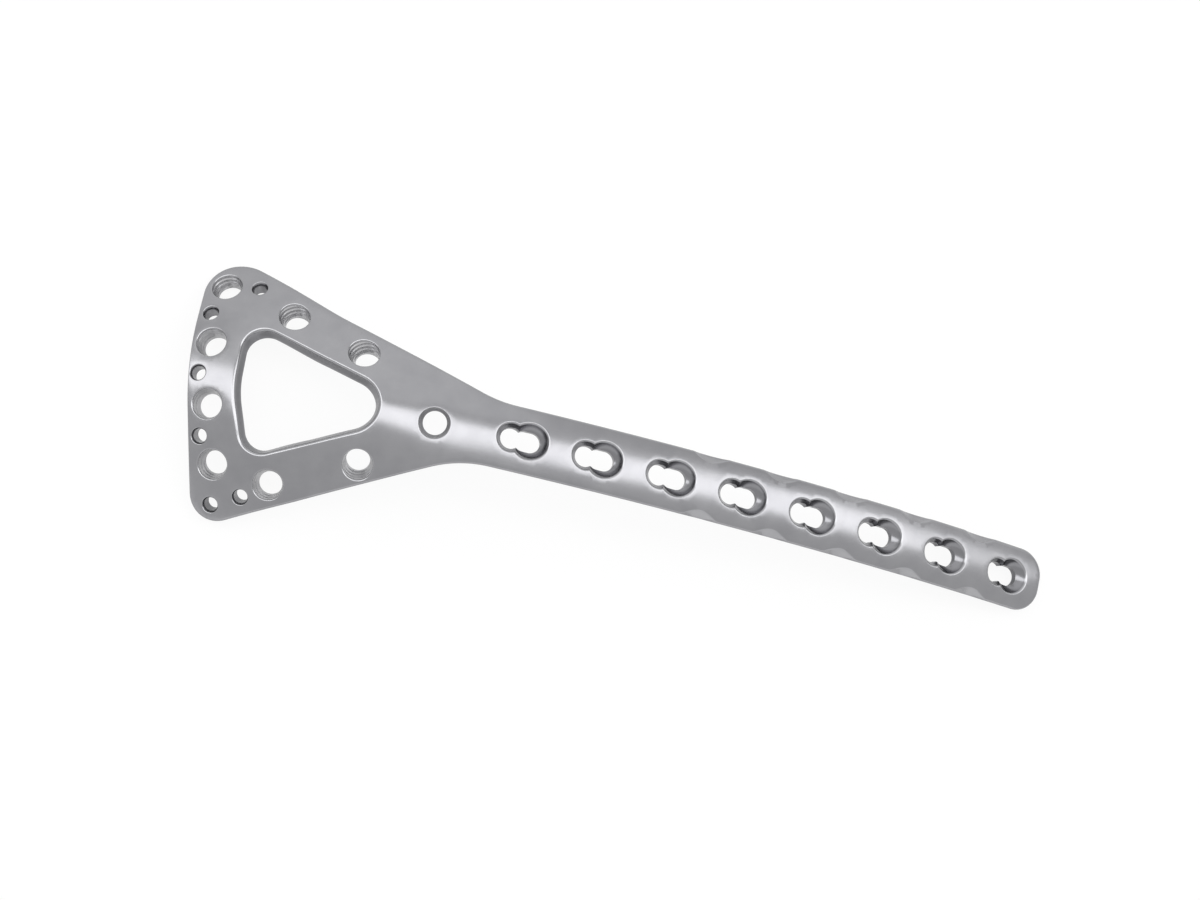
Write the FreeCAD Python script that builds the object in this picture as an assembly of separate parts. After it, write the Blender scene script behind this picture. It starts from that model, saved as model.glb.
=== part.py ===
"""Distal radius locking plate, one piece of blasted titanium.

A thin plate with a constant wall follows a bowed and crowned surface. Its
triangular head is open in the middle and carries conical locking holes and
small wire holes. Its shaft carries a row of combination holes, in which a
round locking hole opens into a larger ramped compression hole.

The plan of the plate is drawn flat, with X along the shaft from the crest of
the bow towards the tip and Y across it. Every plan point is then lifted to the
crowned surface, and every hole is cut square to that surface, or tilted from
it by its own angles. The finished plate is pitched so that the two head
corners and the shaft tip stand on Z = 0.
"""
import FreeCAD, Part
import math
import os
from FreeCAD import Placement, Rotation, Vector

# Driving dimensions, in millimetres and degrees
plate_thickness = 1.8

# The bow of the centre line, as arc radii on each side of its crest
head_bow_radius = 87.0
shaft_bow_radius = 172.0

# The crown across the plate: the slope that it tends to, and the half width over which it turns
bar_crown = (0.75, 10.0)
arm_crown = (0.50, 2.0)
shaft_crown = (0.70, 5.5)
bar_to_arm = (-25.0, -13.0)
arm_to_shaft = (-6.0, 8.0)

# The shaft and its combination holes
shaft_half_width = 3.95
tip_end_x = 78.7
tip_corner_radius = 3.2
combi_first_x = 9.65
combi_pitch = 9.0
combi_count = 8
combi_lock_radius = 1.24
combi_lock_mouth_radius = 1.80
combi_lock_cone_depth = 0.95
combi_slide_offset = 2.20
combi_slide_half_width = 1.20
combi_slide_start = 1.50
combi_slide_end = 2.30
combi_pocket_mouth_radius = 2.25
combi_pocket_depth = 1.15

# The shallow edge scallops midway between the later combination holes
scallop_first_gap = 2
scallop_length = 4.2
scallop_depth = 0.46
scallop_lean = 24.0

# The head: plan corners of the outline and of the window, each with the radius that rounds it
upper_arm_start = (7.4, 14.0)
upper_arm_bend = (-12.2, 10.15, 45.0)
upper_head_corner = (-29.3, 16.6, 4.4)
distal_edge_bend = (-29.0, 1.2, 48.0)
lower_head_corner = (-24.4, -17.6, 3.4)
lower_arm_start = (4.4, 15.0)
window_upper_corner = (-23.4, 7.55, 2.67)
window_distal_bend = (-23.02, -1.13, 13.67)
window_lower_corner = (-20.12, -8.85, 2.67)
window_neck_corner = (0.27, 0.48, 3.42)

# The locking holes of the head and neck: plan place, then tilts along and across the plate
lock_bore_radius = 1.40
lock_bore_length = 0.60
lock_mouth_radius = 1.84
locking_holes = {
    "corner": (-26.65, 11.30, -4.0, 2.0),
    "distal_upper": (-26.70, 3.90, -6.0, 0.0),
    "distal_middle": (-25.50, -3.45, -1.0, 5.0),
    "distal_lower": (-23.40, -10.00, 0.0, 0.0),
    "lower_arm_distal": (-16.55, -11.05, -6.0, 2.0),
    "lower_arm_neck": (-7.05, -6.75, 5.0, -9.0),
    "upper_arm_distal": (-17.90, 8.90, -12.0, 6.0),
    "upper_arm_neck": (-9.00, 6.10, -13.0, 7.0),
    "neck": (0.60, -0.40, -2.0, -6.0),
}

# The small holes for guide wires
wire_hole_radius = 0.80
wire_mouth_radius = 1.00
wire_mouth_depth = 0.35
wire_holes = {
    "upper_corner": (-22.85, 11.80, 0.0, 0.0),
    "distal_first": (-27.70, 7.55, 0.0, 0.0),
    "distal_second": (-27.40, 0.00, 0.0, 0.0),
    "distal_third": (-25.60, -7.15, 0.0, 0.0),
    "lower_corner": (-22.70, -14.40, 0.0, 0.0),
    "lower_inner": (-19.45, -12.95, 0.0, 0.0),
}

# Where the head stands: the plan place of its lower corner
head_foot_place = (-23.5, -15.6)

# Working sizes of the construction
surface_margin = 3.0
head_station_step = 2.5
shaft_station_step = 6.0
cross_station_step = 2.0
tool_reach = 3.0
offset_tolerance = 0.001
cut_tolerance = 0.001


def blend(x, span):
    """Rise smoothly from 0 to 1 while x crosses the span."""
    share = min(max((x - span[0]) / (span[1] - span[0]), 0.0), 1.0)
    return share * share * (3.0 - 2.0 * share)


def crown_at(x):
    """Give the slope limit and the turning half width of the crown at a station."""
    to_arm = blend(x, bar_to_arm)
    to_shaft = blend(x, arm_to_shaft)
    return [
        bar + (arm - bar) * to_arm + (shaft - arm) * to_shaft
        for bar, arm, shaft in zip(bar_crown, arm_crown, shaft_crown)
    ]


def top_height(x, y):
    """Height of the top surface: an arc along the plate less a hyperbola across it."""
    radius = head_bow_radius if x < 0.0 else shaft_bow_radius
    bow = radius - math.sqrt(radius * radius - x * x)
    limit, turn = crown_at(x)
    crown = math.sqrt(turn * turn + (limit * y) ** 2) - turn
    return -bow - crown


def top_normal(x, y):
    """Unit outward normal of the top surface, from central differences."""
    step = 0.01
    along = (top_height(x + step, y) - top_height(x - step, y)) / (2.0 * step)
    across = (top_height(x, y + step) - top_height(x, y - step)) / (2.0 * step)
    normal = Vector(-along, -across, 1.0)
    normal.normalize()
    return normal


def wall_point(x, y, depth):
    """Point at a depth below the top surface, measured along its normal."""
    return Vector(x, y, top_height(x, y)) - top_normal(x, y) * depth


def plan_loop(corners):
    """Closed flat wire of lines and arcs: each corner (x, y, radius) is rounded by its own radius."""
    rounds = []
    for index, (x, y, radius) in enumerate(corners):
        corner = Vector(x, y, 0.0)
        back = Vector(*corners[index - 1][:2], 0.0) - corner
        ahead = Vector(*corners[(index + 1) % len(corners)][:2], 0.0) - corner
        half_angle = back.getAngle(ahead) / 2.0
        back.normalize()
        ahead.normalize()
        inward = back + ahead
        inward.normalize()
        run = radius / math.tan(half_angle)
        middle = corner + inward * (radius / math.sin(half_angle) - radius)
        rounds.append((corner + back * run, middle, corner + ahead * run))
    edges = []
    for index, (start, middle, end) in enumerate(rounds):
        next_start = rounds[(index + 1) % len(rounds)][0]
        edges.append(Part.Arc(start, middle, end).toShape())
        edges.append(Part.LineSegment(end, next_start).toShape())
    return Part.Wire(edges)


def plan_face():
    """The flat plan of the plate, with its window."""
    width = shaft_half_width
    outline = plan_loop([
        (tip_end_x, width, tip_corner_radius),
        (upper_arm_start[0], width, upper_arm_start[1]),
        upper_arm_bend,
        upper_head_corner,
        distal_edge_bend,
        lower_head_corner,
        (lower_arm_start[0], -width, lower_arm_start[1]),
        (tip_end_x, -width, tip_corner_radius),
    ])
    window = plan_loop([
        window_upper_corner,
        window_distal_bend,
        window_lower_corner,
        window_neck_corner,
    ])
    return Part.Face(outline).cut(Part.Face(window)).Faces[0]


def stations(start, end, step):
    """Evenly spaced values from start to end, no further apart than the step."""
    count = math.ceil((end - start) / step)
    return [start + (end - start) * index / count for index in range(count + 1)]


def top_surface(plan):
    """Smooth surface through the lifted points of a grid that covers the plan, denser at the head."""
    box = plan.BoundBox
    shaft_start = arm_to_shaft[1]
    columns = stations(box.XMin - surface_margin, shaft_start, head_station_step)
    columns += stations(shaft_start, box.XMax + surface_margin, shaft_station_step)[1:]
    rows = stations(box.YMin - surface_margin, box.YMax + surface_margin, cross_station_step)
    surface = Part.BSplineSurface()
    surface.interpolate([[wall_point(x, y, 0.0) for y in rows] for x in columns])
    return surface.toShape()


def blank_plate():
    """The plate without holes: the plan lifted to the top surface and thickened square to it."""
    plan = plan_face()
    surface = top_surface(plan)
    height = surface.BoundBox.ZLength + 2.0 * surface_margin
    plan.translate(Vector(0.0, 0.0, surface.BoundBox.ZMin - surface_margin))
    skin = surface.common(plan.extrude(Vector(0.0, 0.0, height))).Faces[0]
    return skin.makeOffsetShape(-plate_thickness, offset_tolerance, fill=True)


def hole_place(x, y, tilt_along=0.0, tilt_across=0.0):
    """Placement on the top surface whose Z is the surface normal, leant by the two tilts."""
    normal = top_normal(x, y)
    along = Vector(1.0, 0.0, 0.0) - normal * normal.x
    along.normalize()
    across = normal.cross(along)
    lean_along = math.tan(math.radians(tilt_along))
    lean_across = math.tan(math.radians(tilt_across))
    axis = normal + along * lean_along + across * lean_across
    axis.normalize()
    along = along - axis * along.dot(axis)
    along.normalize()
    turn = Rotation(along, axis.cross(along), axis, "ZXY")
    return Placement(wall_point(x, y, 0.0), turn)


def turned(profile):
    """Solid of revolution about Z from (radius, height) points that start and end on the axis."""
    points = [Vector(radius, 0.0, height) for radius, height in profile]
    face = Part.Face(Part.makePolygon(points + [points[0]]))
    return face.revolve(Vector(0.0, 0.0, 0.0), Vector(0.0, 0.0, 1.0), 360.0)


def round_cutter(bore_radius, cone_depth, mouth_radius):
    """Straight bore below, a cone up to the mouth at Z = 0, and a 45 degree flare above it."""
    return turned([
        (0.0, -tool_reach),
        (bore_radius, -tool_reach),
        (bore_radius, -cone_depth),
        (mouth_radius, 0.0),
        (mouth_radius + tool_reach, tool_reach),
        (0.0, tool_reach),
    ])


def pocket_cutter():
    """Dished pocket: a ball that has the slot's width at the pocket depth and the mouth's at Z = 0."""
    mouth = combi_pocket_mouth_radius
    depth = combi_pocket_depth
    centre_height = (mouth ** 2 - combi_slide_half_width ** 2 - depth ** 2) / (2.0 * depth)
    ball_radius = math.sqrt(mouth ** 2 + centre_height ** 2)
    return Part.makeSphere(ball_radius, Vector(combi_slide_offset, 0.0, centre_height))


def combination_cutter():
    """Combination hole: a locking hole, a slot beside it, and a dished pocket over the slot."""
    lock = round_cutter(combi_lock_radius, combi_lock_cone_depth, combi_lock_mouth_radius)
    half_width = combi_slide_half_width
    slot = [
        Part.makeCylinder(half_width, tool_reach, Vector(x, 0.0, -tool_reach))
        for x in (combi_slide_start, combi_slide_end)
    ]
    slot.append(Part.makeBox(
        combi_slide_end - combi_slide_start,
        2.0 * half_width,
        tool_reach,
        Vector(combi_slide_start, -half_width, -tool_reach),
    ))
    return lock.fuse(slot + [pocket_cutter()])


def scallop_cutter(side):
    """Cylinder that takes a shallow scallop out of one top edge of the shaft."""
    radius = (scallop_length ** 2 / 4.0 + scallop_depth ** 2) / (2.0 * scallop_depth)
    lean = math.radians(scallop_lean)
    facing = Vector(0.0, side * math.sin(lean), math.cos(lean))
    axis = Vector(0.0, side * math.cos(lean), -math.sin(lean))
    centre = facing * (radius - scallop_depth) - axis * tool_reach
    return Part.makeCylinder(radius, 2.0 * tool_reach, centre, axis)


def placed(shape, placement):
    """Copy of a cutter at a placement."""
    copy = shape.copy()
    copy.Placement = placement.multiply(copy.Placement)
    return copy


def hole_cutters():
    """Every cutter for the round holes and the combination holes, in place."""
    lock_cone_depth = plate_thickness - lock_bore_length
    lock = round_cutter(lock_bore_radius, lock_cone_depth, lock_mouth_radius)
    wire = round_cutter(wire_hole_radius, wire_mouth_depth, wire_mouth_radius)
    combination = combination_cutter()
    cutters = [placed(lock, hole_place(*place)) for place in locking_holes.values()]
    cutters += [placed(wire, hole_place(*place)) for place in wire_holes.values()]
    for index in range(combi_count):
        x = combi_first_x + index * combi_pitch
        cutters.append(placed(combination, hole_place(x, 0.0)))
    return cutters


def scallop_cutters():
    """The scallop cutters for both edges, midway between neighbouring combination holes."""
    cutters = []
    for index in range(scallop_first_gap, combi_count - 1):
        x = combi_first_x + combi_slide_offset / 2.0 + (index + 0.5) * combi_pitch
        for side in (-1.0, 1.0):
            edge = hole_place(x, side * shaft_half_width)
            edge.Rotation = hole_place(x, 0.0).Rotation
            cutters.append(placed(scallop_cutter(side), edge))
    return cutters


def stand_at_rest(plate):
    """Pitch the plate so that head corners and tip stand level, then centre it on Z = 0."""
    head_foot = wall_point(*head_foot_place, plate_thickness)
    tip_foot = wall_point(tip_end_x, 0.0, plate_thickness)
    rise = head_foot.z - tip_foot.z
    pitch = math.degrees(math.atan2(rise, tip_foot.x - head_foot.x))
    plate.rotate(Vector(0.0, 0.0, 0.0), Vector(0.0, 1.0, 0.0), -pitch)
    box = plate.optimalBoundingBox(False, False)
    plate.translate(Vector(-box.Center.x, -box.Center.y, -box.ZMin))


plate = blank_plate().cut(hole_cutters() + scallop_cutters(), cut_tolerance).Solids[0]
stand_at_rest(plate)
os.makedirs("parts", exist_ok=True)
plate.exportStep("parts/plate.step")
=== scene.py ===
import math
import bpy
import numpy as np
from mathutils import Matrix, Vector
from mathutils.geometry import delaunay_2d_cdt


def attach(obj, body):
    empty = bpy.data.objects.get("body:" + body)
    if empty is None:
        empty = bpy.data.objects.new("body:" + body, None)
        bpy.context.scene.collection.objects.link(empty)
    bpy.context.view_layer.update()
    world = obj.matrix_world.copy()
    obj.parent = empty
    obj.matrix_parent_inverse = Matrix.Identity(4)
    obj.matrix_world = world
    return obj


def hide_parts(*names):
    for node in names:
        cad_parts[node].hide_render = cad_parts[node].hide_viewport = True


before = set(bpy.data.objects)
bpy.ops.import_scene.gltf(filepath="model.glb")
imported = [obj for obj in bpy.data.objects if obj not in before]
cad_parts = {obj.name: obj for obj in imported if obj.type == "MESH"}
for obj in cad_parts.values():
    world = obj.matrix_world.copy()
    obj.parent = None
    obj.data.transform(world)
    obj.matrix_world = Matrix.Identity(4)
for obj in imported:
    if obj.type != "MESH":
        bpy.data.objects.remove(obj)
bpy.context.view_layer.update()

# The plate. One thin sheet of titanium, bowed along its length and crowned across
# it, is milled from the solid. Every hole and edge has its rim broken, and the
# whole is blasted with fine beads to an even satin grey. Sizes are in millimetres.
wall = 1.8
head_bow = 87.0
shaft_bow = 172.0
bar_crown = (0.75, 10.0)
arm_crown = (0.50, 2.0)
shaft_crown = (0.70, 5.5)
bar_to_arm = (-25.0, -13.0)
arm_to_shaft = (-6.0, 8.0)
slope_step = 0.01
foot_rounds = 4
rest_pitch = math.radians(5.95186)
rest_place = np.array([-25.9701, 0.7758, 13.0347])


def unit(vectors):
    """Each vector divided by its own length."""
    return vectors / np.linalg.norm(vectors, axis=-1, keepdims=True)


def blend(x, span):
    """Rises as 3s^2 - 2s^3 while x crosses the span, s being the share of it that is behind."""
    share = np.clip((x - span[0]) / (span[1] - span[0]), 0.0, 1.0)
    return share * share * (3.0 - 2.0 * share)


def height(plan):
    """Minus a circular bow along the plate, minus a hyperbola sqrt(a^2 + (my)^2) - a across it."""
    x = plan[..., 0]
    y = plan[..., 1]
    radius = np.where(x < 0.0, head_bow, shaft_bow)
    to_arm = blend(x, bar_to_arm)
    to_shaft = blend(x, arm_to_shaft)
    slope, turn = [
        bar + (arm - bar) * to_arm + (shaft - arm) * to_shaft
        for bar, arm, shaft in zip(bar_crown, arm_crown, shaft_crown)
    ]
    return np.sqrt(radius ** 2 - x ** 2) - radius + turn - np.hypot(turn, slope * y)


def normal(plan):
    """Unit (-dh/dx, -dh/dy, 1), with the slopes of the height from central differences."""
    slope_x, slope_y = (
        (height(plan + step) - height(plan - step)) / (2.0 * slope_step)
        for step in slope_step * np.eye(2)
    )
    return unit(np.stack([-slope_x, -slope_y, np.ones_like(slope_x)], axis=-1))


def lift(plan, depth=0.0):
    """Plan points raised to the top surface, then sunk along its normal by a depth."""
    top = np.concatenate([plan, height(plan)[..., None]], axis=-1)
    return top - normal(plan) * np.asarray(depth)[..., None]


def foot(points, depth):
    """Plan place whose wall line passes through each point at about that depth."""
    plan = points[..., :2]
    for _ in range(foot_rounds):
        plan = points[..., :2] + normal(plan)[..., :2] * depth
    return plan


def rounded_loop(corners, spacing):
    """Plan loop of straight runs and arcs: each corner (x, y, radius) turns on its own radius."""
    spots = np.array(corners)
    corner = spots[:, :2]
    back = unit(np.roll(corner, 1, axis=0) - corner)
    ahead = unit(np.roll(corner, -1, axis=0) - corner)
    half = np.arccos(np.clip((back * ahead).sum(axis=1), -1.0, 1.0)) / 2.0
    run = spots[:, 2] / np.tan(half)
    centre = corner + unit(back + ahead) * (spots[:, 2] / np.sin(half))[:, None]
    start = corner + back * run[:, None]
    end = corner + ahead * run[:, None]
    pieces = []
    for index in range(len(spots)):
        first = start[index] - centre[index]
        last = end[index] - centre[index]
        swing = math.atan2(first[0] * last[1] - first[1] * last[0], first @ last)
        steps = max(4, math.ceil(abs(swing) * spots[index, 2] / spacing))
        angle = math.atan2(first[1], first[0]) + swing * np.arange(steps) / steps
        arc = np.stack([np.cos(angle), np.sin(angle)], axis=1) * spots[index, 2]
        pieces.append(centre[index] + arc)
        following = start[(index + 1) % len(spots)]
        steps = max(2, math.ceil(np.linalg.norm(following - end[index]) / spacing))
        share = (np.arange(steps) / steps)[:, None]
        pieces.append(end[index] + (following - end[index]) * share)
    return np.concatenate(pieces)


def outward(rim, face):
    """Mitred direction away from the metal along a closed rim, in the plane square to the face."""
    run = unit(np.roll(rim, -1, axis=0) - rim)
    side_ahead = unit(np.cross(run, face))
    side_back = np.roll(side_ahead, 1, axis=0)
    mitre = side_ahead + side_back
    return mitre / (1.0 + (side_ahead * side_back).sum(axis=1, keepdims=True))


def rounded(start, corner, end, weight, steps):
    """Rows of a rational quadratic curve from start round the corner to end, both ends included."""
    share = np.linspace(0.0, 1.0, steps + 1)[:, None, None]
    first = (1.0 - share) ** 2
    middle = 2.0 * share * (1.0 - share) * np.asarray(weight)[..., None]
    last = share ** 2
    return (first * start + middle * corner + last * end) / (first + middle + last)


arc_weight = math.sqrt(0.5)
rim_steps = 5
edge_rows = 2
edge_under_steps = 4
hole_under_steps = 3
rows_of = []
wear_and_sheen_of = []
bare_sheen_and_shade_of = []
top_plans = []
bottom_plans = []


def keep_wall(top_plan, upper, middle, lower, bottom_plan, bare_sheen_and_shade):
    """Keeps a closed wall of point rows: wear and a painted highlight are a half sine over each rim, and
    between the rims the last value paints the wall, from 1 for bare metal with a painted highlight to -1
    for painted shade."""
    rows_of.append(np.concatenate([upper, middle, lower]))
    upper_wear_and_sheen, lower_wear_and_sheen = (
        np.sin(np.pi * np.arange(len(rows)) / (len(rows) - 1)) for rows in (upper, lower)
    )
    wear_and_sheen_of.append(np.concatenate([upper_wear_and_sheen, np.zeros(len(middle)), lower_wear_and_sheen]))
    bare_sheen_and_shade_of.append(np.repeat([0.0, bare_sheen_and_shade, 0.0], [len(upper), len(middle), len(lower)]))
    top_plans.append(top_plan)
    bottom_plans.append(bottom_plan)


def edge_wall(plan, foot_plan, top_break, drop, weight, bottom_break, bare_sheen_and_shade):
    """Wall ruled from a plan loop on top to one underneath, with both of its edges rounded."""
    top_rim = lift(plan)
    top_plan = plan - outward(top_rim, normal(plan))[:, :2] * top_break[:, None]
    bottom_rim = lift(foot_plan, wall)
    bottom_plan = foot_plan - outward(bottom_rim, normal(foot_plan))[:, :2] * bottom_break[:, None]
    fall = bottom_rim - top_rim
    upper_end = top_rim + fall * (drop / wall)[:, None]
    lower_end = bottom_rim - fall * (bottom_break / wall)[:, None]
    upper = rounded(lift(top_plan), top_rim, upper_end, weight, rim_steps)
    share = np.linspace(0.0, 1.0, edge_rows + 2)[1:-1, None, None]
    middle = upper_end + (lower_end - upper_end) * share
    lower = rounded(lower_end, bottom_rim, lift(bottom_plan, wall), arc_weight, edge_under_steps)
    keep_wall(top_plan, upper, middle, lower, bottom_plan, bare_sheen_and_shade)


# The outline and the window
outline_spacing = 0.4
window_spacing = 0.3
shaft_half = 3.95
outline = rounded_loop([
    (78.7, shaft_half, 3.2),
    (7.4, shaft_half, 14.0),
    (-12.2, 10.15, 45.0),
    (-29.3, 16.6, 4.4),
    (-29.0, 1.2, 48.0),
    (-24.4, -17.6, 3.4),
    (4.4, -shaft_half, 15.0),
    (78.7, -shaft_half, 3.2),
], outline_spacing)
window = rounded_loop([
    (-23.40, 7.55, 2.67),
    (0.27, 0.48, 3.42),
    (-20.12, -8.85, 2.67),
    (-23.02, -1.13, 13.67),
], window_spacing)
edge_break = 0.34
distal_break = 0.12
distal_edge = (-28.6, -24.0)
window_break = 0.34
under_break = 0.2
distal_under_break = 0.11
# The outline's wall keeps the plain grey; the window's wall is painted darker, a painted shade
edge_shade = 0.0
window_shade = -0.35
combi_first = 9.65
combi_pitch = 9.0
combi_count = 8
slide_offset = 2.2

# A scallop widens the rounding of the shaft's top edge and flattens it, along a lens that is
# midway between two combination holes
scallop_half = 2.1
scallop_along = 0.80
scallop_down = 0.16
side_slack = 0.01
scallop_gaps = np.arange(2, combi_count - 1) + 0.5
scallop_places = combi_first + slide_offset / 2.0 + scallop_gaps * combi_pitch
from_scallop = np.abs(outline[:, :1] - scallop_places).min(axis=1) / scallop_half
on_side = np.abs(outline[:, 1]) > shaft_half - side_slack
lens = np.where(on_side, np.clip(1.0 - from_scallop ** 2, 0.0, 1.0), 0.0)
flat = np.sqrt(lens)
inland = blend(outline[:, 0], distal_edge)
outer_break = distal_break + (edge_break - distal_break) * inland
edge_wall(
    outline,
    outline,
    outer_break + scallop_along * lens,
    outer_break + scallop_down * lens,
    arc_weight * (1.0 - flat),
    distal_under_break + (under_break - distal_under_break) * inland,
    edge_shade,
)

# The window's wall leans inwards: its foot is shifted towards the middle of the window
foot_width = 0.985
foot_shift = (0.42, -0.56)
even = np.ones(len(window))
window_foot = window * [1.0, foot_width]
window_ends = (window[:, 0].min(), window[:, 0].max())
window_foot[:, 0] += np.interp(window[:, 0], window_ends, foot_shift)
edge_wall(
    window,
    window_foot,
    window_break * even,
    window_break * even,
    arc_weight * even,
    under_break * even,
    window_shade,
)


# The holes. The wall of each is a ring of columns that run down along its axis.
meet_rounds = 8


def hole_frame(x, y, tilt_along, tilt_across):
    """Centre on the top surface, two cross directions and an axis leant from its normal."""
    plan = np.array([x, y])
    face = normal(plan)
    along = unit(np.array([1.0, 0.0, 0.0]) - face * face[0])
    across = np.cross(face, along)
    lean = np.tan(np.radians([tilt_along, tilt_across]))
    axis = unit(face + along * lean[0] + across * lean[1])
    along = unit(along - axis * (along @ axis))
    return lift(plan), along, np.cross(axis, along), axis


def meet(point_at, axis, depth, guess):
    """Depth along the axis at which each line of a hole's wall is that deep in the metal: each
    round adds what is lacking, divided by the cosine between the axis and the face's normal."""
    found = guess.copy()
    for _ in range(meet_rounds):
        points = point_at(found)
        plan = foot(points, depth)
        face = normal(plan)
        deep = ((lift(plan) - points) * face).sum(axis=1)
        found += (depth - deep) / (face @ axis)
    return found


def hole_wall(point_at, axis, columns, breaks, levels, bare_sheen_and_shade):
    """Wall of a hole whose point_at(depths) gives a ring of points, one depth for each column."""
    top_break, bottom_break = breaks
    start = meet(point_at, axis, 0.0, np.zeros(columns))
    stop = meet(point_at, axis, wall, np.full(columns, wall))
    top_rim = point_at(start)
    top_side = outward(top_rim, normal(top_rim[:, :2]))
    top_plan = (top_rim - top_side * top_break)[:, :2]
    bottom_rim = point_at(stop)
    bottom_foot = foot(bottom_rim, wall)
    bottom_plan = bottom_foot - (outward(bottom_rim, normal(bottom_foot)) * bottom_break)[:, :2]
    upper_end = start + top_break
    lower_end = stop - bottom_break
    upper = rounded(lift(top_plan), top_rim, point_at(upper_end), arc_weight, rim_steps)
    lower = rounded(point_at(lower_end), bottom_rim, lift(bottom_plan, wall), arc_weight, hole_under_steps)
    middle = [point_at(level) for level in levels(upper_end, lower_end)]
    keep_wall(top_plan, upper, middle, lower, bottom_plan, bare_sheen_and_shade)


def round_hole(place, mouth_radius, bore_radius, cone_depth, breaks, columns, rows, bare_sheen_and_shade):
    """Cone then straight bore: the radius falls evenly from the mouth's to the bore's, then stays."""
    centre, along, across, axis = hole_frame(*place)
    turn = -2.0 * np.pi * np.arange(columns) / columns
    flare = (mouth_radius - bore_radius) / cone_depth
    ray = np.cos(turn)[:, None] * along + np.sin(turn)[:, None] * across

    def point_at(depths):
        radius = np.maximum(mouth_radius - flare * depths, bore_radius)
        return centre + ray * radius[:, None] - axis * depths[:, None]

    def levels(upper, lower):
        return [upper + (lower - upper) * share for share in np.linspace(0.0, 1.0, rows + 2)[1:-1]]

    hole_wall(point_at, axis, columns, breaks, levels, bare_sheen_and_shade)
    return centre, axis, ray, turn


# The locking holes of the head and neck, and the wire holes: the place of each in the plan,
# then the degrees by which it leans along the plate and across it
locking_holes = [
    (-26.65, 11.30, -4.0, 2.0),
    (-26.70, 3.90, -6.0, 0.0),
    (-25.50, -3.45, -1.0, 5.0),
    (-23.40, -10.00, 0.0, 0.0),
    (-16.55, -11.05, -6.0, 2.0),
    (-7.05, -6.75, 5.0, -9.0),
    (-17.90, 8.90, -12.0, 6.0),
    (-9.00, 6.10, -13.0, 7.0),
    (0.60, -0.40, -2.0, -6.0),
]
wire_holes = [
    (-22.85, 11.80, 0.0, 0.0),
    (-27.70, 7.55, 0.0, 0.0),
    (-27.40, 0.00, 0.0, 0.0),
    (-25.60, -7.15, 0.0, 0.0),
    (-22.70, -14.40, 0.0, 0.0),
    (-19.45, -12.95, 0.0, 0.0),
]
locking_mouth = 1.84
locking_bore = 1.40
locking_cone = wall - 0.6
locking_breaks = (0.13, 0.08)
locking_columns = 64
locking_rows = 26
thread_pitch = 0.42
thread_depth = 0.03
thread_ends = 8.0
# The threaded walls of the head holes are bare and painted lighter, a painted highlight; the neck hole's
# wall is painted dark, a painted shade
head_bare_sheen = 1.0
neck_shade = -1.0
wire_mouth = 1.00
wire_bore = 0.80
wire_cone = 0.35
wire_breaks = (0.06, 0.05)
wire_columns = 40
wire_rows = 8
# The wire holes' walls are painted a little lighter, a painted highlight
wire_bare_sheen = 0.2


def thread(centre, axis, ray, turn):
    """Cuts a helix into the last wall kept: each point moves out by the thread's depth times
    (1 + cos(2 pi depth / pitch + turn)) / 2, which fades to nought over an eighth at either end."""
    rows = rows_of[-1][rim_steps + 1:rim_steps + 1 + locking_rows]
    share = np.arange(1, locking_rows + 1)[:, None] / (locking_rows + 1.0)
    wave = 0.5 + 0.5 * np.cos(2.0 * np.pi * ((centre - rows) @ axis) / thread_pitch + turn)
    fade = np.clip(thread_ends * np.minimum(share, 1.0 - share), 0.0, 1.0)
    rows += ray * (thread_depth * fade * wave)[:, :, None]


for place in locking_holes:
    ring = round_hole(
        place,
        locking_mouth,
        locking_bore,
        locking_cone,
        locking_breaks,
        locking_columns,
        locking_rows,
        neck_shade if place == locking_holes[-1] else head_bare_sheen,
    )
    thread(*ring)
for place in wire_holes:
    round_hole(place, wire_mouth, wire_bore, wire_cone, wire_breaks, wire_columns, wire_rows, wire_bare_sheen)

# The combination holes. A hub between the round part and the slot sees their whole wall.
lock_mouth = 1.80
lock_bore = 1.24
lock_cone = 0.95
slot_half = 1.20
slot_start = 1.50
slot_end = 2.30
pocket_mouth = 2.25
pocket_depth = 1.15
pocket_least = 1.15
combi_breaks = (0.16, 0.06)
# The walls of the combination holes and their pockets are painted darker, a painted shade
combi_shade = -0.45
ball_height = (pocket_mouth ** 2 - slot_half ** 2 - pocket_depth ** 2) / (2.0 * pocket_depth)
ball_square = pocket_mouth ** 2 + ball_height ** 2
hub = 1.1
slot_columns = 64
lock_columns = 34
rows_above = 10
rows_below = 6
ledge_guess = 0.9
ledge_least = 0.4
ledge_rounds = 30
cusp_columns = (0.0, 6.0)
tiny = 1e-6


def lock_radius(depths):
    """Radius of the round part: a cone that narrows to a straight bore."""
    return np.maximum(lock_mouth - (lock_mouth - lock_bore) / lock_cone * depths, lock_bore)


def cusp_angle(depths):
    """Angle at the hub of the cusp where the round part's circle meets the pocket or the slot."""
    lock = lock_radius(depths)
    pocket_square = ball_square - (depths + ball_height) ** 2
    at_pocket = (slide_offset ** 2 + lock ** 2 - pocket_square) / (2.0 * slide_offset)
    at_slot = (slot_start ** 2 + lock ** 2 - slot_half ** 2) / (2.0 * slot_start)
    x = np.minimum(at_pocket, at_slot)
    return np.arctan2(np.sqrt(lock ** 2 - x ** 2), x - hub)


def leave_circle(angle, offset, square):
    """Way from the hub, at an angle, to the far side of a circle centred an offset along from it."""
    return offset * np.cos(angle) + np.sqrt(np.maximum(square - (offset * np.sin(angle)) ** 2, 0.0))


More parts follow.
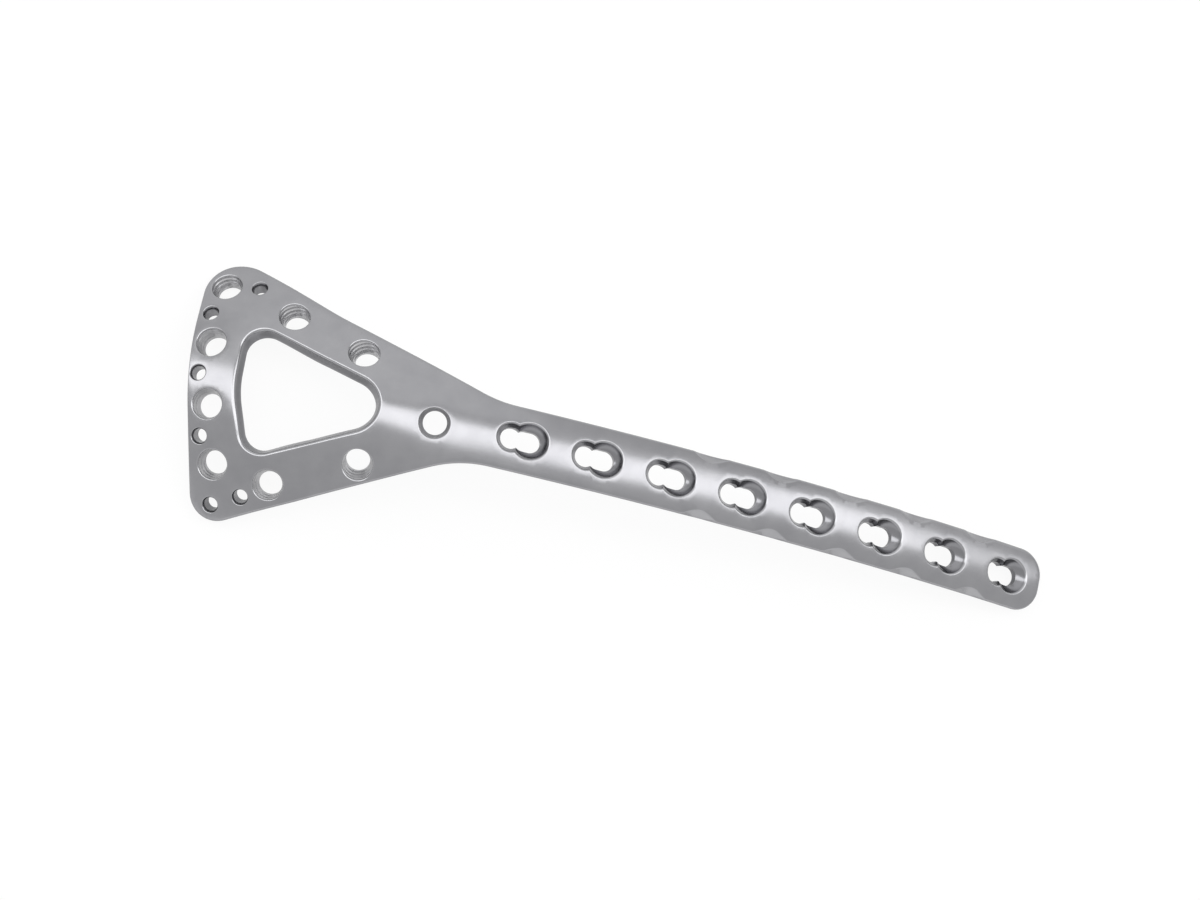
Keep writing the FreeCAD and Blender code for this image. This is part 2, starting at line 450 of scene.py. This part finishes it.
def leave_slot(angle):
    """Way from the hub to the slot's straight side, or to the round at either end of it."""
    side = slot_half / np.maximum(np.abs(np.sin(angle)), tiny)
    reach = hub + side * np.cos(angle)
    start = leave_circle(angle, slot_start - hub, slot_half ** 2)
    end = leave_circle(angle, slot_end - hub, slot_half ** 2)
    return np.where(reach > slot_end, end, np.where(reach < slot_start, start, side))


def combi_angles(depths):
    """Column angles: evenly spread round the slot's side of the cusps, then round the lock's."""
    cusp = cusp_angle(depths)
    slot_share = 1.0 - 2.0 * np.arange(slot_columns) / slot_columns
    lock_share = np.arange(lock_columns) / lock_columns
    slot_part = cusp[:slot_columns] * slot_share
    lock_part = -cusp[slot_columns:] - 2.0 * (np.pi - cusp[slot_columns:]) * lock_share
    return np.concatenate([slot_part, lock_part])


def combi_way(depths):
    """Way from the hub to the wall: the widest of pocket and slot on their side, else the lock."""
    angle = combi_angles(depths)
    pocket_square = ball_square - (depths + ball_height) ** 2
    pocket = leave_circle(angle, slide_offset - hub, pocket_square)
    pocket = np.where(pocket_square > pocket_least ** 2, pocket, 0.0)
    lock = leave_circle(angle, -hub, lock_radius(depths) ** 2)
    slot = leave_slot(angle)
    on_slot = np.arange(len(angle)) < slot_columns
    on_slot[0] = False
    return angle, np.where(on_slot, np.maximum(pocket, slot), lock)


def ledge_depths():
    """Depth at which the pocket's ball meets the slot's wall, column by column, in halved steps.
    Round the lock it goes over to the depth of the cone's foot within a few columns."""
    depths = np.full(slot_columns + lock_columns, ledge_guess)
    for _ in range(ledge_rounds):
        angle = combi_angles(depths)
        way = leave_slot(angle)
        square = (way * np.cos(angle) + hub - slide_offset) ** 2 + (way * np.sin(angle)) ** 2
        level = np.sqrt(np.maximum(ball_square - square, 1.0)) - ball_height
        depths = 0.5 * depths + 0.5 * np.clip(level, ledge_least, pocket_depth)
    near_cusp = np.minimum(np.arange(lock_columns), lock_columns - np.arange(lock_columns))
    rise = blend(near_cusp.astype(float), cusp_columns)
    depths[slot_columns:] = depths[0] + (lock_cone - depths[0]) * rise
    return depths


ledge = ledge_depths()


def combination_hole(x):
    """One combination hole, its hub a little along the slot from the lock's centre."""
    centre, along, across, axis = hole_frame(x, 0.0, 0.0, 0.0)

    def point_at(depths):
        angle, way = combi_way(depths)
        ray = np.cos(angle)[:, None] * along + np.sin(angle)[:, None] * across
        return centre + along * hub + ray * way[:, None] - axis * depths[:, None]

    def levels(upper, lower):
        above = [upper + (ledge - upper) * row / rows_above for row in range(1, rows_above + 1)]
        below = [ledge + (lower - ledge) * row / rows_below for row in range(1, rows_below)]
        return above + below

    hole_wall(point_at, axis, slot_columns + lock_columns, combi_breaks, levels, combi_shade)


for index in range(combi_count):
    combination_hole(combi_first + combi_pitch * index)


# The top face and the underside, which fill the plan between the rims of the walls
grid_spacing = 0.5
grid_clearance = 0.55 * grid_spacing


def inside(spots, loop):
    """True where a line from the spot towards +X crosses the closed loop an odd number of times."""
    x, y = spots[:, :1], spots[:, 1:]
    start = loop
    end = np.roll(loop, -1, axis=0)
    spans = (start[:, 1] > y) != (end[:, 1] > y)
    fall = np.where(spans, end[:, 1] - start[:, 1], 1.0)
    crossing = start[:, 0] + (y - start[:, 1]) * (end[:, 0] - start[:, 0]) / fall
    return (spans & (x < crossing)).sum(axis=1) % 2 == 1


def sheet(plans, depth, flip):
    """Triangles of one face: its rims and a staggered grid between them, lifted to the surface."""
    rim = np.concatenate(plans)
    low = rim.min(axis=0)
    high = rim.max(axis=0)
    rows = np.arange(low[1], high[1], grid_spacing * math.sqrt(0.75))
    columns = np.arange(low[0], high[0], grid_spacing)
    x, y = np.meshgrid(columns, rows)
    x[1::2] += grid_spacing / 2.0
    grid = np.stack([x.ravel(), y.ravel()], axis=1)
    grid = grid[inside(grid, plans[0])]
    for number, plan in enumerate(plans):
        clear = np.linalg.norm(grid[:, None] - plan[None], axis=2).min(axis=1) > grid_clearance
        if number:
            clear &= ~inside(grid, plan)
        grid = grid[clear]
    spots = np.concatenate([rim, grid])
    edges = []
    start = 0
    for plan in plans:
        ring = start + np.arange(len(plan))
        edges += np.stack([ring, np.roll(ring, -1)], axis=1).tolist()
        start += len(plan)
    made = delaunay_2d_cdt([Vector(spot) for spot in spots.tolist()], edges, [], 1, tiny)
    source = np.array([origins[0] for origins in made[3]])
    triangles = source[np.array(made[2])]
    middle = spots[triangles].mean(axis=1)
    keep = np.ones(len(triangles), dtype=bool)
    for plan in plans[1:]:
        keep &= ~inside(middle, plan)
    triangles = triangles[keep]
    side = spots[triangles[:, 1:]] - spots[triangles[:, :1]]
    turned = side[:, 0, 0] * side[:, 1, 1] - side[:, 0, 1] * side[:, 1, 0]
    wrong = (turned < 0.0) != flip
    triangles[wrong] = triangles[wrong][:, ::-1]
    return lift(grid, np.full(len(grid), depth)), triangles


# The mesh: the walls' rows joined to rings of quads, then both faces, turned to rest on the floor
crease = math.radians(21.0)
vertices = []
wear_and_sheen = []
bare_sheen_and_shade = []
quads = []
top_borders = []
bottom_borders = []
total = 0
for rows, wall_wear_and_sheen, wall_bare_sheen_and_shade in zip(rows_of, wear_and_sheen_of, bare_sheen_and_shade_of):
    count, columns = rows.shape[:2]
    index = total + np.arange(count * columns).reshape(count, columns)
    following = np.roll(index, -1, axis=1)
    quads.append(np.stack([index[:-1], index[1:], following[1:], following[:-1]], axis=-1).reshape(-1, 4))
    vertices.append(rows.reshape(-1, 3))
    wear_and_sheen.append(np.repeat(wall_wear_and_sheen, columns))
    bare_sheen_and_shade.append(np.repeat(wall_bare_sheen_and_shade, columns))
    top_borders.append(index[0])
    bottom_borders.append(index[-1])
    total += count * columns

triangles = []
for plans, borders, depth in ((top_plans, top_borders, 0.0), (bottom_plans, bottom_borders, wall)):
    inner, faces = sheet(plans, depth, depth > 0.0)
    numbering = np.concatenate([np.concatenate(borders), total + np.arange(len(inner))])
    triangles.append(numbering[faces])
    vertices.append(inner)
    total += len(inner)

points = np.concatenate(vertices)
turn = np.array([
    [math.cos(rest_pitch), 0.0, -math.sin(rest_pitch)],
    [0.0, 1.0, 0.0],
    [math.sin(rest_pitch), 0.0, math.cos(rest_pitch)],
])
points = (points @ turn.T + rest_place) / 1000.0
mesh = bpy.data.meshes.new("bone_plate")
mesh.from_pydata(points.tolist(), [], np.concatenate(quads).tolist() + np.concatenate(triangles).tolist())
mesh.polygons.foreach_set("use_smooth", [True] * len(mesh.polygons))
mesh.set_sharp_from_angle(angle=crease)
plate = bpy.data.objects.new("bone_plate", mesh)
bpy.context.scene.collection.objects.link(plate)
# The mesh carries the rims' wear and painted highlight, and the walls' painted highlight and painted shade,
# as attributes
for name, values in (("wear_and_sheen", wear_and_sheen), ("bare_sheen_and_shade", bare_sheen_and_shade)):
    field = np.zeros(total)
    walls = np.concatenate(values)
    field[:len(walls)] = walls
    mesh.attributes.new(name, "FLOAT", "POINT").data.foreach_set("value", field)


class Wire:
    """A shader socket on which arithmetic works: each operation adds the Math node that does it."""

    def __init__(self, tree, socket=None):
        self.tree = tree
        self.socket = socket

    def node(self, kind, settings, values, output=0):
        """Adds a node, makes its settings, feeds its sockets numbers or wires, gives one output."""
        made = self.tree.nodes.new(kind)
        for name, value in settings.items():
            setattr(made, name, value)
        for name, value in values.items():
            if isinstance(value, Wire):
                self.tree.links.new(value.socket, made.inputs[name])
            else:
                made.inputs[name].default_value = value
        return Wire(self.tree, made.outputs[output])

    def math(self, operation, first, second):
        return self.node("ShaderNodeMath", {"operation": operation}, {0: first, 1: second})

    def __add__(self, other):
        return self.math("ADD", self, other)

    def __sub__(self, other):
        return self.math("SUBTRACT", self, other)

    def __rsub__(self, other):
        return self.math("SUBTRACT", other, self)

    def __mul__(self, other):
        return self.math("MULTIPLY", self, other)

    __radd__ = __add__
    __rmul__ = __mul__

    def rise(self, low, high):
        """Smooth step from 0 to 1 while this value crosses from low to high."""
        settings = {"interpolation_type": "SMOOTHSTEP"}
        return self.node("ShaderNodeMapRange", settings, {"Value": self, "From Min": low, "From Max": high})

    def tint(self, dark, light):
        """Colour between two others, this value being the share of the second."""
        settings = {"data_type": "RGBA"}
        return self.node("ShaderNodeMix", settings, {0: self, 6: dark, 7: light}, 2)

    def feed(self, target):
        """Joins this wire to an input socket."""
        self.tree.links.new(self.socket, target)


# The titanium: an even grey with faint patches under a very fine grain. The rims are painted lighter,
#  for wear and a painted highlight; the threaded walls are bare and painted lighter, a painted highlight;
#  the pockets, the window and the neck hole get painted shade.
dull = (0.245, 0.245, 0.257, 1.0)
bright = (0.275, 0.275, 0.286, 1.0)
# Bare metal with a painted highlight, for the rims and the threaded walls
bare_and_sheen = (0.48, 0.48, 0.49, 1.0)
# Painted shade for the walls of the pockets, the window and the neck hole
deep = (0.13, 0.13, 0.14, 1.0)
patch_scale = 70.0
cloud_scale = 420.0
grain_scale = 5200.0
wear_sheen_least = 0.06
wear_sheen_by_cloud = 0.2
smoothest = 0.15
rim_smoothness = 0.04
sheen_and_shade_roughness = 0.06
relief_height = 3e-6
patch_relief = 6.0
cloud_relief = 1.2
grain_relief = 0.16
titanium = bpy.data.materials.new("blasted_titanium")
titanium.use_nodes = True
shader = titanium.node_tree.nodes["Principled BSDF"]
graph = Wire(titanium.node_tree)
place = graph.node("ShaderNodeTexCoord", {}, {}, "Object")


def noise(scale, detail):
    """Noise between about 0.3 and 0.7, in Object coordinates, its features 1 / scale metres apart."""
    return graph.node("ShaderNodeTexNoise", {}, {"Vector": place, "Scale": scale, "Detail": detail})


patches = noise(patch_scale, 2.0)
clouds = noise(cloud_scale, 3.0)
grain = noise(grain_scale, 2.0)
rim_wear_and_sheen = graph.node("ShaderNodeAttribute", {"attribute_name": "wear_and_sheen"}, {}, "Fac")
wall_bare_sheen_and_shade = graph.node("ShaderNodeAttribute", {"attribute_name": "bare_sheen_and_shade"}, {}, "Fac")
blasted = (0.5 * patches + 0.5 * clouds).rise(0.3, 0.7).tint(dull, bright)
# Rims go towards the lighter grey for wear and a painted highlight; walls go towards it for bare metal with
# a painted highlight, and towards the dark grey for painted shade
rubbed_and_sheen = (rim_wear_and_sheen * (wear_sheen_least + wear_sheen_by_cloud * clouds)).tint(blasted, bare_and_sheen)
lit = wall_bare_sheen_and_shade.tint(rubbed_and_sheen, bare_and_sheen)
(-1.0 * wall_bare_sheen_and_shade).tint(lit, deep).feed(shader.inputs["Base Color"])
shader.inputs["Metallic"].default_value = 1.0
satin = smoothest + 0.08 * patches + 0.08 * grain
(satin - rim_smoothness * rim_wear_and_sheen + sheen_and_shade_roughness * wall_bare_sheen_and_shade).feed(shader.inputs["Roughness"])
relief = patch_relief * patches + cloud_relief * clouds + grain_relief * grain
bump = graph.node("ShaderNodeBump", {}, {"Strength": 1.0, "Distance": relief_height, "Height": relief})
bump.feed(shader.inputs["Normal"])
mesh.materials.append(titanium)
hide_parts("plate")
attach(plate, "root")

# The floor, the light and the camera. The world is white to the camera and in reflections,
# the floor nearly so to the camera and partly in reflections, and it takes a faint shadow.
# A bent row of softboxes overhead lights the crown of the plate along its length.
floor_half = 3.0
floor_to_camera = 0.91
floor_in_reflection = 0.36
world_on_matt = 0.7
floor_mesh = bpy.data.meshes.new("floor")
corners = [(x * floor_half, y * floor_half, 0.0) for x, y in ((-1, -1), (1, -1), (1, 1), (-1, 1))]
floor_mesh.from_pydata(corners, [], [(0, 1, 2, 3)])
floor = bpy.data.objects.new("floor", floor_mesh)
bpy.context.scene.collection.objects.link(floor)
paper = bpy.data.materials.new("white_paper")
paper.use_nodes = True
graph = Wire(paper.node_tree)


def seen(by_camera, by_reflection):
    """One share for a ray from the camera, another for a mirrored or transmitted ray, else nought."""
    outputs = graph.node("ShaderNodeLightPath", {}, {}).socket.node.outputs
    camera, glossy, transmission = (
        Wire(graph.tree, outputs[name])
        for name in ("Is Camera Ray", "Is Glossy Ray", "Is Transmission Ray")
    )
    return by_camera * camera + by_reflection * (glossy + transmission)


diffuse = graph.node("ShaderNodeBsdfDiffuse", {}, {"Color": (0.85, 0.85, 0.85, 1.0)})
glow = graph.node("ShaderNodeEmission", {}, {"Color": (1.0, 1.0, 1.0, 1.0), "Strength": 1.0})
share = seen(floor_to_camera, floor_in_reflection)
mixed = graph.node("ShaderNodeMixShader", {}, {0: share, 1: diffuse, 2: glow})
mixed.feed(paper.node_tree.nodes["Material Output"].inputs["Surface"])
floor_mesh.materials.append(paper)

scene = bpy.context.scene
scene.view_settings.view_transform = "Standard"
world = bpy.data.worlds.new("studio")
scene.world = world
world.use_nodes = True
graph = Wire(world.node_tree)
background = world.node_tree.nodes["Background"]
background.inputs["Color"].default_value = (1.0, 1.0, 1.0, 1.0)
(world_on_matt + (1.0 - world_on_matt) * seen(1.0, 1.0)).feed(background.inputs["Strength"])


def soft_lamp(name, place, turn, size, radiance):
    """Flat softbox of a given radiance, which shines along its own -Z."""
    data = bpy.data.lights.new(name, "AREA")
    data.shape = "RECTANGLE"
    data.size, data.size_y = size
    data.energy = radiance * math.pi * size[0] * size[1]
    lamp = bpy.data.objects.new(name, data)
    lamp.location = place
    lamp.rotation_euler = turn
    scene.collection.objects.link(lamp)


# The overhead softboxes follow a bent path. Its places and the boxes' widths are shares of the
# height of the lamps over the floor.
lamp_height = 0.50
path_places = [(-1.90, 0.36), (-0.01, -0.01), (0.52, 0.27), (1.20, 0.50), (2.30, 0.85)]
box_widths = (0.48, 0.43, 0.58, 0.50)
box_radiances = (2.5, 2.5, 2.5, 1.3)
for number, (width, radiance) in enumerate(zip(box_widths, box_radiances)):
    first, last = lamp_height * np.array(path_places[number:number + 2])
    run = last - first
    place = (*((first + last) / 2.0), lamp_height)
    turn = (0.0, 0.0, math.atan2(run[1], run[0]))
    soft_lamp(f"softbox_{number}", place, turn, (np.linalg.norm(run), lamp_height * width), radiance)
soft_lamp("head_fill", (-0.30, 0.60, lamp_height), (0.0, 0.0, 0.0), (0.70, 0.70), 0.42)

# Two upright panels, one on either side, face each other across the plate
panel_away = 0.90
panel_level = 0.26
panel_length = 2.6
quarter = math.pi / 2.0
soft_lamp("far_panel", (0.0, panel_away, panel_level), (-quarter, 0.0, 0.0), (panel_length, 0.50), 0.30)
soft_lamp("near_panel", (0.0, -panel_away, panel_level), (quarter, 0.0, 0.0), (panel_length, 0.44), 0.34)

camera_data = bpy.data.cameras.new("camera")
camera_data.lens = 76.94
camera_data.sensor_width = 36.0
camera_data.clip_start = 0.01
camera = bpy.data.objects.new("camera", camera_data)
camera.location = (-0.0583985, -0.0530066, 0.302244)
camera.rotation_euler = [math.radians(angle) for angle in (8.20374, -12.28402, 12.10164)]
scene.collection.objects.link(camera)
scene.camera = camera
